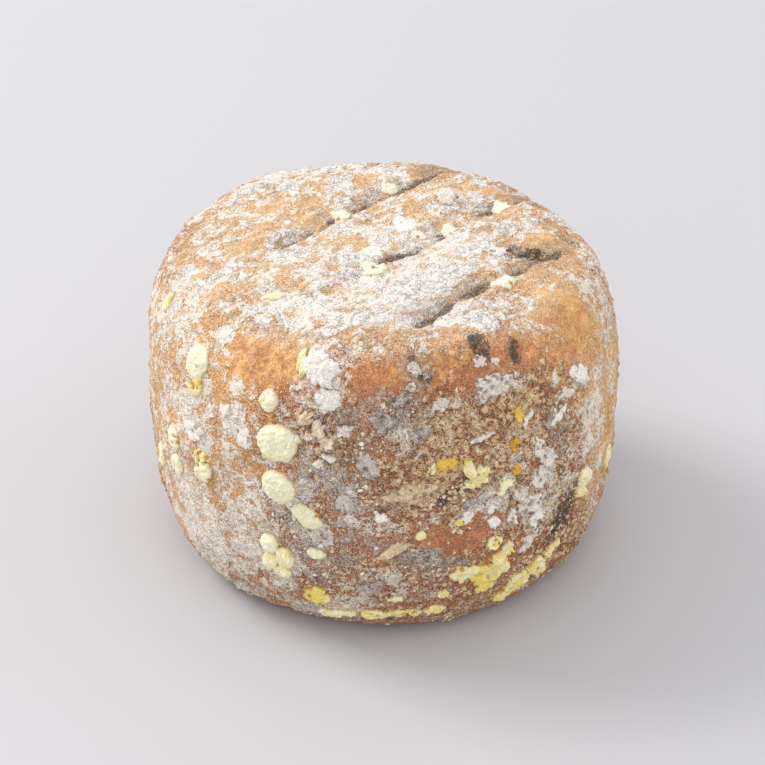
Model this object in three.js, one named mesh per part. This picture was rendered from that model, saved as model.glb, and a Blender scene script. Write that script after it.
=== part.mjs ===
// A small natural-rind cheese wheel, modelled as the one solid that it is. Its side is a soft
// barrel that was pressed in a cloth, its top face carries the marks of the rack bars that it
// drained on, and it stands on a flat foot.
// Millimetres, +Z up, origin at the middle of the footprint. An azimuth is in degrees seen from
// above: 0 is the front (-Y), 90 the right (+X).
import * as THREE from "three";
import { mergeVertices } from "three/addons/utils/BufferGeometryUtils.js";

// Overall size and the barrel's outline.
const HEIGHT = 82;
const BELLY_DIAMETER = 120;
const BELLY_HEIGHT = 37; // where the side is widest
const FACE_DIAMETER = 79; // the level part of the top face, inside the shoulder
const FOOT_DIAMETER = 88; // the flat disc that the wheel stands on
const SQUARENESS = 2.8; // superellipse power of shoulder and foot: 2 is a plain ellipse
const LEAN = 1.2; // how far the top has settled towards -X over the foot

// Rack bars: parallel marks across the top face, with the curd risen a little between them.
const RACK_AZIMUTH = 135; // the bars run from front left to back right
const RACK_PITCH = 24.8;
const RACK_OFFSET = 7.8; // from the wheel's axis to the mark in front of it
const MARK_DEPTH = 1.4;
const MARK_WIDTH = 6.5;
const PILLOW_RISE = 0.7;
const FACE_CROWN = 0.8; // how far the face falls from its middle to the shoulder
const MARK_FADE = 8; // the marks die out over this drop from the face down the shoulder

// The wheel isn't quite round: waves in its outline, each `size` deep with a crest at `azimuth`.
const OUTLINE_WAVES = [
  { lobes: 2, size: 0.5, azimuth: 60 },
  { lobes: 3, size: 0.5, azimuth: -20 },
  { lobes: 5, size: 0.25, azimuth: 15 },
];

// Single lumps and hollows, pushed out (or in, where `rise` is negative) over the distance `reach`.
// `inset` is measured inwards from the belly's edge and `below` down from the top face.
const LUMPS = [
  { name: "cloth fold, front left shoulder", azimuth: -14, inset: 8, below: 4, reach: 7, rise: 1.5 },
  { name: "flat, front left shoulder", azimuth: -40, inset: 6, below: 7, reach: 15, rise: -1.2 },
  { name: "hollow in the face, left", azimuth: -125, inset: 37, below: 0, reach: 8, rise: -1.3 },
];

// Mesh fineness.
const SEGMENTS = 84;
const FACE_RINGS = 15;
const RIM_RINGS = 19;

const radians = THREE.MathUtils.degToRad;

// A point `across` from the axis at an azimuth and a height.
function placeAt(azimuth, across, height) {
  const angle = radians(azimuth);
  return new THREE.Vector3(across * Math.sin(angle), -across * Math.cos(angle), height);
}

// Half outline of the barrel as [distance from the axis, height], from the foot's middle over
// the foot, belly and shoulder to the top's middle. Both roundings are quarter superellipses.
function outlinePoints() {
  const belly = BELLY_DIAMETER / 2;
  const foot = FOOT_DIAMETER / 2;
  const face = FACE_DIAMETER / 2;
  const shoulderDrop = HEIGHT - BELLY_HEIGHT;
  const power = 2 / SQUARENESS;
  const points = [new THREE.Vector2(0, 0)];
  for (let i = 0; i <= RIM_RINGS; i++) {
    const turn = Math.PI * (i / RIM_RINGS - 0.5); // -90 degrees at the foot, 90 at the face
    const inner = turn < 0 ? foot : face;
    const reach = turn < 0 ? BELLY_HEIGHT : shoulderDrop;
    const across = inner + (belly - inner) * Math.cos(turn) ** power;
    const up = BELLY_HEIGHT + Math.sign(turn) * reach * Math.abs(Math.sin(turn)) ** power;
    points.push(new THREE.Vector2(across, up));
  }
  for (let i = FACE_RINGS - 1; i >= 0; i--) {
    points.push(new THREE.Vector2((face * i) / FACE_RINGS, HEIGHT));
  }
  return points;
}

// How far the outline stands out (or in) at an azimuth.
function outlineWave(azimuth) {
  return OUTLINE_WAVES.reduce(
    (sum, wave) => sum + wave.size * Math.cos(wave.lobes * radians(azimuth - wave.azimuth)),
    0,
  );
}

// How far the top face lies under the level HEIGHT: bar marks, pillows between them, crown.
function faceDrop(x, y, height) {
  const along = radians(RACK_AZIMUTH);
  const acrossBars = x * -Math.cos(along) + y * -Math.sin(along);
  const nearestMark = RACK_OFFSET + RACK_PITCH * Math.round((acrossBars - RACK_OFFSET) / RACK_PITCH);
  const fromMark = acrossBars - nearestMark;
  const mark = MARK_DEPTH * Math.exp(-((fromMark / (MARK_WIDTH / 2)) ** 2));
  const pillow = PILLOW_RISE * Math.cos((Math.PI * fromMark) / RACK_PITCH) ** 2;
  const crown = FACE_CROWN * (Math.hypot(x, y) / (FACE_DIAMETER / 2)) ** 2;
  return (mark + pillow + crown) * THREE.MathUtils.smoothstep(height, HEIGHT - MARK_FADE, HEIGHT);
}

// Moves one point of the plain barrel to its place on the uneven wheel.
function settle(point) {
  const { x, y, z } = point;
  const azimuth = THREE.MathUtils.radToDeg(Math.atan2(x, -y));
  const widening = outlineWave(azimuth) / (BELLY_DIAMETER / 2);
  const outward = new THREE.Vector3(x, y, z - HEIGHT / 2).normalize();
  point.x += x * widening - LEAN * (z / HEIGHT - 0.5);
  point.y += y * widening;
  point.z -= faceDrop(x, y, z);
  for (const lump of LUMPS) {
    const centre = placeAt(lump.azimuth, BELLY_DIAMETER / 2 - lump.inset, HEIGHT - lump.below);
    const nearness = Math.exp(-centre.distanceToSquared(new THREE.Vector3(x, y, z)) / lump.reach ** 2);
    point.addScaledVector(outward, lump.rise * nearness);
  }
}

// The closed surface: the outline turned about the axis, then every point settled in place.
function wheelGeometry() {
  const lathe = new THREE.LatheGeometry(outlinePoints(), SEGMENTS);
  lathe.rotateX(Math.PI / 2);
  lathe.deleteAttribute("normal");
  lathe.deleteAttribute("uv");
  const geometry = mergeVertices(lathe, 1e-3);
  const position = geometry.getAttribute("position");
  const point = new THREE.Vector3();
  for (let i = 0; i < position.count; i++) {
    point.fromBufferAttribute(position, i);
    settle(point);
    position.setXYZ(i, point.x, point.y, point.z);
  }
  geometry.computeBoundingBox();
  const middle = geometry.boundingBox.getCenter(new THREE.Vector3());
  geometry.translate(-middle.x, -middle.y, 0);
  geometry.computeVertexNormals();
  return geometry;
}

const rind = new THREE.MeshStandardMaterial({ color: 0xc08a55, roughness: 0.85, metalness: 0 });

const wheel = new THREE.Mesh(wheelGeometry(), rind);
wheel.name = "cheese_wheel";

const part = new THREE.Group();
part.add(wheel);

export default part;
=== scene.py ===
"""A small natural-rind cheese wheel: a soft barrel under a crust of mould.

The rind is one closed surface. It repeats the part's own outline, unevenness and rack marks, and adds
the crumbling relief that a solid for collision has no need of. Colonies of yellow mould, flakes of
grey mould and loose crumbs are closed pieces that lie on it. What grows where is a list of places.

Shapes are worked out in millimetres and put into the meshes in metres. An azimuth is in degrees seen
from above: 0 is the front (-Y), 90 the right (+X).
"""
import collections
import itertools
import math
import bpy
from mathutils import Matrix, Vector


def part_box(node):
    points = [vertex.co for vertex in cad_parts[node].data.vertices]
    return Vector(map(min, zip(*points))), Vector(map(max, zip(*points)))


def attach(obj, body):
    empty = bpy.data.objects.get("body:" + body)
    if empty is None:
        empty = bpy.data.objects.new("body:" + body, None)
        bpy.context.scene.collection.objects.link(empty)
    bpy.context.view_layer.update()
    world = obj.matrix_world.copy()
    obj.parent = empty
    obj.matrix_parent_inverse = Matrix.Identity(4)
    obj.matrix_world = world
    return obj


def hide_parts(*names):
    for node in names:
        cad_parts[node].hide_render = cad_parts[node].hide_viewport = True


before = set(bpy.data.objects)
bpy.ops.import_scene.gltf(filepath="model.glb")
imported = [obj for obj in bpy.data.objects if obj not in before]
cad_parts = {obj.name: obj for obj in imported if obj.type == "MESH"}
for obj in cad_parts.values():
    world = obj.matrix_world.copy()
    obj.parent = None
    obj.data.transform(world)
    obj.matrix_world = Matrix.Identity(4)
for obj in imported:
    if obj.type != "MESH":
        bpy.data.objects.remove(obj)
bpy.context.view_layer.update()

import types

import bpy
import numpy as np
from mathutils import Vector

MM = 0.001

# ---------------------------------------------------------------- sizes, in millimetres

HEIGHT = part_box("cheese_wheel")[1].z / MM
BELLY_RADIUS = 60.0
BELLY_HEIGHT = 37.0  # where the side is widest
FACE_RADIUS = 39.5  # the level part of the top face, inside the shoulder
FOOT_RADIUS = 44.0  # the flat disc that the wheel stands on
SQUARENESS = 2.8  # superellipse power of shoulder and foot: 2 is a plain ellipse
LEAN = 1.2  # how far the top has settled towards -X over the foot

RACK_AZIMUTH = math.radians(135)  # the bars run from front left to back right
RACK_PITCH = 24.8
RACK_OFFSET = 7.8  # from the wheel's axis to the mark in front of it
MARK_WIDTHS = (3.4, 1.0)  # the gentle side of a rack mark, towards the back left, and its steep side
MARK_DEPTH = 1.6
PILLOW_RISE = 0.8  # how far the marks lie below the pillows between them
FACE_CROWN = 0.8  # how far the face falls from its middle to the shoulder
MARK_FADE = 9.0  # the marks die out over this drop from the face down the shoulder
MARKS_FAINT = (-34.0, -24.0)  # across the bars: faint up to the first distance, plain from the second
MARKS_START = (-29.0, -19.0)  # along the bars: no marks up to the first distance, full from the second

OUTLINE_WAVES = ((2, 0.5, 60), (3, 0.5, -20), (5, 0.25, 15))  # lobes, size, azimuth of a crest

FROST_EDGE = (54.0, 46.0)  # the top's own frost comes in between these distances from the axis
WORN_HEIGHT = 3.0  # the foot's edge is worn smooth up to here

GRID = 128  # squares along each edge of the rind's six patches


# ---------------------------------------------------------------- fields of noise

def hashed(cells, seed):
    """A well mixed whole number for each cell: its indices times large odd numbers, folded by shifts."""
    mixed = cells[..., 0] * 374761393 + cells[..., 1] * 668265263 + cells[..., 2] * 1440662683
    mixed = (mixed + seed * 362437).astype(np.uint32)
    mixed = (mixed ^ (mixed >> 13)) * np.uint32(1274126177)
    return mixed ^ (mixed >> 16)


def share(number, shift):
    """Ten bits of a hashed number as a share from 0 to 1."""
    return ((number >> shift) & 1023) / 1023.0


def three_shares(number):
    """Three independent shares from one hashed number, as a vector."""
    return np.stack([share(number, shift) for shift in (0, 10, 20)], -1)


def ripple(points, size, seed):
    """Smooth noise from about -1 to 1 with bumps `size` across.

    Each corner of the unit cell round a point has a slope of its own, and the value is the sum of
    slope times distance from each corner, weighted by a curve that eases from one to the other."""
    points = points / size
    cell = np.floor(points).astype(np.int64)
    step = points - cell
    ease = step**3 * (step * (6 * step - 15) + 10)
    total = np.zeros(len(points))
    for corner in itertools.product((0, 1), repeat=3):
        corner = np.array(corner)
        slope = 2 * three_shares(hashed(cell + corner, seed)) - 1
        weight = np.prod(np.where(corner, ease, 1 - ease), -1)
        total += weight * np.sum(slope * (step - corner), -1)
    return 1.6 * total


def rough(points, size, seed, layers=3):
    """Ripples added up, each layer half as large and half as high as the one before."""
    return sum(ripple(points, size / 2**i, seed + i) / 2**i for i in range(layers))


def smooth(low, high, values):
    """0 below `low`, 1 above `high`, and an S-curve between them."""
    t = np.clip((values - low) / (high - low), 0, 1)
    return t * t * (3 - 2 * t)


def granules(points, size, seed):
    """Distance to the nearest and to the second nearest of scattered centres, one in each cell of
    `size`, and the nearest one's own share. Distances are in cells."""
    points = points / size
    cell = np.floor(points).astype(np.int64)
    nearest = np.full(len(points), 9.0)
    second = nearest.copy()
    own = np.zeros(len(points))
    for offset in itertools.product((-1, 0, 1), repeat=3):
        number = hashed(cell + np.array(offset), seed)
        centre = cell + np.array(offset) + three_shares(number)
        gap = np.linalg.norm(centre - points, axis=-1)
        second = np.minimum(second, np.maximum(gap, nearest))
        own = np.where(gap < nearest, share(number, 5), own)
        nearest = np.minimum(nearest, gap)
    return nearest, second, own


# ---------------------------------------------------------------- the barrel

def barrel_outline():
    """Half outline from the foot's middle over belly and shoulder to the face's middle, as arc length,
    distance from the axis and height. Foot rounding and shoulder are quarter superellipses."""
    turn = np.linspace(-0.5, 0.5, 1001) * math.pi
    inner = np.where(turn < 0, FOOT_RADIUS, FACE_RADIUS)
    reach = np.where(turn < 0, BELLY_HEIGHT, HEIGHT - BELLY_HEIGHT)
    power = 2 / SQUARENESS
    across = inner + (BELLY_RADIUS - inner) * np.abs(np.cos(turn)) ** power
    height = BELLY_HEIGHT + np.sign(turn) * reach * np.abs(np.sin(turn)) ** power
    across = np.concatenate([[0], across, [0]])
    height = np.concatenate([[0], height, [HEIGHT]])
    arc = np.concatenate([[0], np.cumsum(np.hypot(np.diff(across), np.diff(height)))])
    return arc, across, height


ARC, ACROSS, UP = barrel_outline()
WHOLE_ARC = ARC[-1]


def outline_at(arc):
    """Distance from the axis and height at an arc length."""
    return np.interp(arc, ARC, ACROSS), np.interp(arc, ARC, UP)


def barrel(azimuth, arc):
    """Points of the even barrel and its outward normals, for azimuths in radians and arc lengths."""
    across, up = outline_at(arc)
    ahead, behind = outline_at(arc + 0.5), outline_at(arc - 0.5)
    outward, upward = ahead[1] - behind[1], behind[0] - ahead[0]
    length = np.hypot(outward, upward)
    outward, upward = outward / length, upward / length
    sine, cosine = np.sin(azimuth), -np.cos(azimuth)
    points = np.stack([across * sine, across * cosine, up], -1)
    return points, np.stack([outward * sine, outward * cosine, upward], -1)


Place = collections.namedtuple("Place", "azimuth arc centre right up out")


def side(azimuth, height):
    """A place on the side or the shoulder, at an azimuth in degrees and a height."""
    return place_at(math.radians(azimuth), np.interp(height, UP, ARC))


def face(x, y):
    """A place on the top face."""
    return place_at(math.atan2(x, -y), WHOLE_ARC - math.hypot(x, y))


def place_at(azimuth, arc):
    """A point of the barrel with its directions right, upwards along the surface, and outwards. On
    the face, right is X and up is Y."""
    centre, out = barrel(np.array([azimuth]), np.array([arc]))
    right = np.array([math.cos(azimuth), math.sin(azimuth), 0])
    if WHOLE_ARC - arc < FACE_RADIUS:
        right = np.array([1.0, 0, 0])
    return Place(azimuth, arc, centre[0], right, np.cross(out[0], right), out[0])


def turned(right, up, turn):
    """A pair of values or directions turned anticlockwise by `turn` degrees."""
    sine, cosine = math.sin(math.radians(turn)), math.cos(math.radians(turn))
    return right * cosine + up * sine, up * cosine - right * sine


def around(place, right, up):
    """Azimuths and arc lengths of the barrel's points at distances right of and up from a place."""
    if WHOLE_ARC - place.arc < FACE_RADIUS:
        x, y = place.centre[0] + right, place.centre[1] + up
        return np.arctan2(x, -y), WHOLE_ARC - np.hypot(x, y)
    across = math.hypot(place.centre[0], place.centre[1])
    return place.azimuth + right / across, place.arc + up


# ---------------------------------------------------------------- what grows where

# Each spot: its place, length, width, turn of its length from the right, and strength.
POWDER = (  # white bloom
    (face(4, 4), 44, 40, 45, 0.52), (face(2, -16), 34, 20, 45, 0.72), (face(-8, -30), 30, 14, 0, 0.7),
    (face(4, -36), 28, 4, 0, 0.8), (side(-150, 76), 50, 16, 0, 0.7), (side(-75, 74), 26, 14, 0, 0.6),
    (side(-46, 24), 34, 20, 0, 0.7), (side(-62, 56), 22, 26, 0, 0.5), (side(-30, 34), 20, 24, 0, 0.66),
    (side(-15, 73), 8, 8, 0, 0.7), (side(100, 72), 40, 12, 0, 0.55), (side(45, 38), 14, 14, 20, 0.5),
    (side(150, 34), 46, 28, 0, 0.62), (side(-130, 40), 40, 26, 0, 0.6),
    (side(-78, 52), 10, 40, 0, 0.45), (side(75, 62), 5, 26, 0, 0.5), (side(30, 70), 9, 3, 0, 0.7),
    (side(-56, 44), 18, 14, 0, 0.54), (side(64, 44), 10, 26, 0, 0.6), (side(-35, 55), 8, 8, 40, 0.5),
    (side(57, 63), 5, 5, 30, 0.75), (side(24, 42), 10, 3, 30, 0.7), (side(27, 37), 4, 7, 0, 0.8),
    (side(-76, 70), 2.2, 3.6, 0, 1.0), (side(-46, 78), 3, 3, 0, 0.95),
    (side(-43, 74.5), 2.6, 1.2, 0, 0.95), (side(-37, 68), 2.4, 2.4, 0, 0.95),
    (side(-36, 62.5), 2.6, 3, 0, 0.95), (side(-46, 49), 3.4, 3.8, 20, 1.0),
    (side(-34, 55.5), 2.6, 4, 0, 0.95), (side(-56, 33), 3, 4, 0, 0.9),
    (side(-43, 30.5), 2.6, 2.4, 0, 1.0), (side(-31, 36), 4, 3, 0, 0.9),
    (side(-53, 53), 3, 2.6, 0, 0.85), (side(-59, 66), 1.8, 3, 0, 0.85),
    (side(-50, 60), 2.4, 1.6, 0, 0.8), (side(-39, 17), 8, 4, 0, 0.85), (side(-57, 46), 2.6, 5, 0, 0.8),
    (side(-17, 26), 16, 13, 0, 0.5), (side(-26, 8), 34, 6, 0, 0.6), (side(6, 22), 16, 8, 0, 0.36),
    (side(-12, 44), 10, 12, 0, 0.4),
)
FUZZ = (  # grey mould
    (side(5, 70), 9, 5, 0, 0.75), (side(-5, 62), 8, 7, 0, 0.4), (side(-9, 50), 13, 10, 0, 0.5),
    (side(8, 28), 12, 4, -20, 0.85), (side(-1, 45), 8, 6, 0, 0.5), (side(9, 78), 4, 5, 0, 0.7),
    (side(11, 76), 3, 3, 0, 0.8), (side(-14, 33), 12, 8, 0, 0.5), (side(47, 53), 5, 9, 20, 0.6),
    (side(-23, 38), 3.6, 2.6, 0, 0.9), (side(-15, 32.5), 3.6, 3, 0, 0.9),
    (side(-7, 67), 3, 3.4, 0, 0.8), (side(-5, 59), 3, 4, 0, 0.8), (side(-9, 27), 3.6, 3, 0, 0.8),
    (side(-10, 48), 3, 2.6, 0, 0.8), (side(-4, 51), 2.6, 3, 0, 0.8), (side(4, 5), 44, 4, 0, 0.5),
    (side(-14, 22), 5, 3, 20, 0.8), (side(-19, 28), 4, 3, 0, 0.7), (side(-4, 20), 5, 3, -10, 0.6),
    (side(10, 15), 6, 2.6, 0, 0.55), (side(20, 47), 9, 3, 30, 0.75), (side(-18, 14), 9, 4, 0, 0.4),
    (side(30, 14), 12, 4, 20, 0.4), (side(160, 60), 18, 10, 0, 0.6), (side(-120, 22), 14, 10, 0, 0.6),
    (side(110, 30), 12, 14, 0, 0.55),
)
SOOT = (  # dark blue-grey mould
    (side(29, 79), 2.2, 4.4, 8, 1.0), (side(38, 76), 1.7, 4.0, -20, 1.0),
    (side(9, 79), 1.2, 2.6, 0, 0.8), (side(50, 26), 4.2, 9, -35, 1.0), (side(48, 41), 1.6, 3, 0, 0.9),
    (side(17, 46), 5, 1.6, 35, 0.8), (face(36, -3), 5, 2.2, 20, 0.9), (side(12, 75.5), 2, 1.6, 0, 0.8),
    (side(0, 41.5), 2, 1.6, 0, 0.6), (side(-27, 44), 2, 5, 0, 0.5), (side(135, 58), 3, 6, 10, 0.9),
    (side(-160, 30), 7, 3, 30, 0.8),
)
CURD = (  # crinkled cream crust
    (side(22, 56), 24, 22, 0, 0.95), (side(42, 44), 18, 30, 0, 0.85), (side(8, 50), 14, 12, 0, 0.7),
    (side(14, 20), 26, 14, 0, 0.6), (side(52, 16), 20, 12, 0, 0.7), (side(-13, 60), 8, 12, 0, 0.8),
    (side(-10, 20), 18, 14, 0, 0.6), (side(125, 45), 34, 30, 0, 0.7), (side(-170, 46), 30, 20, 0, 0.6),
)
GLOW = (  # clear amber rind
    (side(-24, 78), 11, 6, 0, 0.9), (side(-44, 74), 16, 14, 0, 0.95), (side(24, 79.5), 26, 4, 3, 0.25),
    (side(60, 76), 20, 14, 0, 0.7), (side(-66, 60), 30, 36, 0, 0.95), (side(-38, 46), 10, 22, 0, 0.8),
    (side(72, 50), 18, 44, 0, 1.0), (face(-2, 2), 46, 44, 0, 0.7), (face(-28, 22), 20, 12, 45, 0.6),
    (side(-150, 60), 34, 20, 0, 0.7), (side(110, 64), 30, 20, 0, 0.8), (side(-56, 28), 24, 24, 0, 0.8),
)
BARE = (  # smooth red-brown rind with little on it
    (side(16, 31), 12, 5, 10, 0.8), (side(5, 76), 16, 5, 0, 0.85), (side(-21, 76), 9, 5, 0, 0.8),
    (side(30, 22), 9, 5, 0, 0.6), (face(-19, 13), 5, 3, 30, 0.9), (face(-27, 8), 4, 2, 30, 0.7),
    (side(26, 36), 5, 6, 0, 0.6), (face(-30, -6), 2.4, 1.2, 30, 0.9), (side(22, 76), 26, 5.5, 3, 0.8),
    (side(58, 75), 14, 9, 0, 0.42), (side(-33, 75), 8, 7, 0, 0.8), (side(10, 73), 16, 3.6, 0, 0.45),
    (face(39, 3), 5, 1.6, 45, 0.8), (face(30, 29), 6, 1.6, 45, 0.8), (face(11, 38), 5, 2.0, 45, 0.7),
    (face(-28, 20), 7, 3, 45, 0.5), (face(-12, 25), 5, 2, 45, 0.5), (face(-31, 2), 6, 2, 45, 0.55),
)
GOLD = (  # deep yellow stain
    (side(15, 53), 3.4, 2, 0, 0.9), (side(33, 54), 1.6, 3, 0, 0.9), (side(33, 47), 2, 2, 0, 0.8),
    (side(22, 50), 5, 5, 0, 0.7), (side(-26, 65), 2, 2, 0, 0.8), (side(-45, 38), 3, 1.6, 0, 0.6),
    (side(-14, 27), 3, 1.5, 0, 0.7), (side(32, 12), 10, 2.5, 20, 0.6), (side(2, 9), 12, 2, 0, 0.6),
    (side(10, 77), 6, 3, 0, 0.5), (side(21, 79), 6, 3, 0, 0.5), (side(18, 37), 1.6, 1.2, 0, 0.7),
    (side(35, 62), 1.5, 3, 0, 0.6), (face(5, 30), 5, 1.5, 45, 0.6),
)


SPOT_BORDER = (1.45, 0.55)  # shares of the way out: nothing grows from the first, all within the second
SPOT_DEPTH = 6.0  # how far a small spot reaches above and below the surface


def spotted(points, spots, seed, ragged=0.35):
    """How much of the listed growth there is at each point, from 0 to 1.

    A spot is an ellipsoid round its place. The share falls from its strength to 0 across the spot's
    border, which noise pushes in and out, and the strongest spot counts."""
    wobble = ragged * rough(points, 7.0, seed)
    most = np.zeros(len(points))
    for place, length, width, turn, strength in spots:
        right, up = turned(place.right, place.up, turn)
        offset = points - place.centre
        depth = max(SPOT_DEPTH, 0.5 * max(length, width))
        parts = (offset @ right / length) ** 2 + (offset @ up / width) ** 2
        parts = parts + (offset @ place.out / depth) ** 2
        most = np.maximum(most, strength * smooth(*SPOT_BORDER, np.sqrt(parts) + wobble))
    return most


def rack_shade_and_grit(points):
    """The rack marks' painted shade with grit, a narrow dark band beside each mark's line, and a grey band
    that thins out over the marks' gentle side, partly grey mould and partly painted shade."""
    gap = mark_gap(points)
    marked = mark_strength(points) * smooth(HEIGHT - 4, HEIGHT - 1, points[:, 2])
    # painted shade with grit: a narrow dark band just on the gentle side of each mark's line
    mark_shade_and_grit = np.exp(-(((gap + 0.8) / 1.2) ** 2)) * marked
    # partly grey mould, partly painted shade: a grey band that thins out over each mark's gentle side
    grey = 0.55 * smooth(-9, -1, gap) * smooth(0.8, 0, gap) * marked
    return mark_shade_and_grit, grey


def growth(points):
    """All the areas at the given points of the even barrel, by name. Powder, fuzz and curd grow thinly
    everywhere, in slow patches, and thickly at their spots. Powder is thicker towards the left and on
    the top face."""
    across = np.hypot(points[:, 0], points[:, 1])
    top = smooth(HEIGHT - 6, HEIGHT - 1, points[:, 2]) * smooth(*FROST_EDGE, across)
    mark_shade_and_grit, grey = rack_shade_and_grit(points)
    thin = 0.14 + 0.16 * smooth(10, -40, points[:, 0]) + 0.2 * top
    patchy = 0.34 * rough(points, 15.0, 13)
    return {
        "powder": np.maximum(spotted(points, POWDER, 11), thin) + patchy * (1 - 0.4 * top),
        # the fuzz also takes the rack marks' grey band, which is partly painted shade
        "fuzz": np.maximum(spotted(points, FUZZ, 21), grey + 0.12 + 0.14 * rough(points, 12.0, 22)),
        "soot": spotted(points, SOOT, 31, ragged=0.45),
        "curd": np.maximum(spotted(points, CURD, 41), 0.22 + 0.18 * rough(points, 15.0, 42)),
        "glow": spotted(points, GLOW, 51),
        "bare": spotted(points, BARE, 61),
        "gold": spotted(points, GOLD, 71),
        # painted shade with grit in the rack's marks
        "groove": mark_shade_and_grit,
        "top": top,
    }


# ---------------------------------------------------------------- the rind's surface

# Single lumps and hollows: place, reach and rise.
LUMPS = (
    (side(-14, 78), 7.0, 1.5), (side(-40, 75), 15.0, -1.2), (face(-19, 13), 6.0, -1.5),
    (face(18, 22), 4.5, 1.4), (face(0, -5), 3.0, 0.9), (face(27, 9), 3.0, 0.9), (face(-8, 0), 3.0, 0.5),
    (side(-12, 62), 5.0, 0.9), (side(-12, 70), 4.0, 0.9), (side(-7, 54), 3.0, -0.9),
    (side(20, 46), 5.0, -0.6), (side(50, 26), 5.0, -0.7), (side(8, 29), 6.0, 0.6),
    (side(30, 79), 3.0, -0.8), (side(39, 76), 2.6, -0.8),
)


def outline_wave(azimuth):
    """How far the outline stands out (or in) at an azimuth."""
    return sum(
        size * np.cos(lobes * (azimuth - math.radians(crest))) for lobes, size, crest in OUTLINE_WAVES
    )


def across_the_bars(points):
    """Distance from the wheel's axis, measured square to the rack's bars."""
    return -points[:, 0] * math.cos(RACK_AZIMUTH) - points[:, 1] * math.sin(RACK_AZIMUTH)


def along_the_bars(points):
    """Distance along the rack's bars."""
    return points[:, 0] * math.sin(RACK_AZIMUTH) - points[:, 1] * math.cos(RACK_AZIMUTH)


def from_mark(points):
    """Signed distance from the middle of the nearest rack mark."""
    offset = across_the_bars(points) - RACK_OFFSET
    return offset - RACK_PITCH * np.round(offset / RACK_PITCH)


def mark_gap(points):
    """Distance from the nearest rack mark's wandering line."""
    return from_mark(points) + 1.0 * ripple(points, 13.0, 81) + 0.7 * ripple(points, 3.4, 83)


def mark_strength(points):
    """How plain the rack's marks are: they break along the bars, fade out before the front, and hardly
    show far left."""
    broken = np.clip(0.75 + 0.9 * ripple(points, 9.0, 82), 0.15, 1.3)
    shown = 0.3 + 0.7 * smooth(*MARKS_FAINT, across_the_bars(points))
    return broken * shown * smooth(*MARKS_START, along_the_bars(points))


def face_drop(points):
    """How far the face lies below its level: bar marks, pillows between them, and the crown."""
    gap = mark_gap(points)
    width = np.where(gap < 0, *MARK_WIDTHS)
    mark = MARK_DEPTH * mark_strength(points) * np.exp(-((gap / width) ** 2))
    pillow = PILLOW_RISE * np.cos(math.pi * gap / RACK_PITCH) ** 2
    crown = FACE_CROWN * (np.hypot(points[:, 0], points[:, 1]) / FACE_RADIUS) ** 2
    return (mark + pillow + crown) * smooth(HEIGHT - MARK_FADE, HEIGHT, points[:, 2])


def wrinkles(points, size, seed):
    """Folded ridges: high along the lines where smooth noise changes sign."""
    return 1 - np.minimum(1, 2.6 * np.abs(ripple(points, size, seed)))


CRUST_GRANULES = 3.2  # their size
STREAK_STRETCH = 3.5  # how much longer than wide the streaks along the bars are


def crust_height(points):
    """Crumbling crust: folded ridges, and granules with low borders between them, pushed out of line by
    noise."""
    pushed = points + 0.8 * rough(points, 3.0, 88)[:, None]
    nearest, second, _ = granules(pushed, CRUST_GRANULES, 95)
    return 0.7 * wrinkles(points, 3.6, 96) + 0.9 * smooth(0.05, 0.45, second - nearest) - 0.6


def bar_streaks(points):
    """Ripples drawn out along the rack's bars."""
    bars = np.stack([across_the_bars(points), along_the_bars(points) / STREAK_STRETCH, points[:, 2]], -1)
    return 0.6 * ripple(bars, 3.2, 97) + 0.35 * ripple(bars, 1.7, 87)


def mould_height(points, grown):
    """The thickness of powder and fuzz, in tufts."""
    powder = 0.4 * grown["powder"] * smooth(-0.3, 0.5, rough(points, 5.0, 98))
    return powder + 0.5 * grown["fuzz"] * smooth(-0.2, 0.4, rough(points, 4.0, 99))


def relief(points, grown):
    """Height of the rind's own relief over the even barrel: slow unevenness everywhere, lumps and mould
    that are less where the rind is bare or clear and towards the left, crust where it grows, and
    streaks on the face."""
    soft = 1 - 0.7 * np.maximum(grown["bare"], 0.6 * grown["glow"])
    soft = soft * (1 - 0.35 * smooth(-10, -50, points[:, 0]))
    slow = 0.5 * ripple(points, 30.0, 91) + 0.5 * ripple(points, 13.0, 92)
    lumpy = 0.45 * ripple(points, 6.0, 93) + 0.42 * ripple(points, 3.2, 94) + 0.3 * ripple(points, 1.9, 90)
    loose = soft * (lumpy + mould_height(points, grown))
    return slow + loose + grown["curd"] * crust_height(points) + grown["top"] * bar_streaks(points)


def settled(even, normal, azimuth):
    """The even barrel's points widened by the outline's waves, leant, marked by the rack and pushed
    by the single lumps."""
    points = even.copy()
    points[:, :2] *= 1 + outline_wave(azimuth)[:, None] / BELLY_RADIUS
    points[:, 0] -= LEAN * (even[:, 2] / HEIGHT - 0.5)
    points[:, 2] -= face_drop(even)
    for place, reach, rise in LUMPS:
        near = np.exp(-np.sum((even - place.centre) ** 2, -1) / reach**2)
        points += normal * (rise * near)[:, None]
    return points


def middle():
    """The middle of the settled wheel in plan, which lies over the origin, from points a degree apart."""
    azimuth, arc = np.meshgrid(np.linspace(-math.pi, math.pi, 361), np.linspace(0, WHOLE_ARC, 120))
    even, normal = barrel(azimuth.ravel(), arc.ravel())
    points = settled(even, normal, azimuth.ravel())
    centre = (points.min(axis=0) + points.max(axis=0)) / 2
    return np.array([centre[0], centre[1], 0])


MIDDLE = middle()


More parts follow.
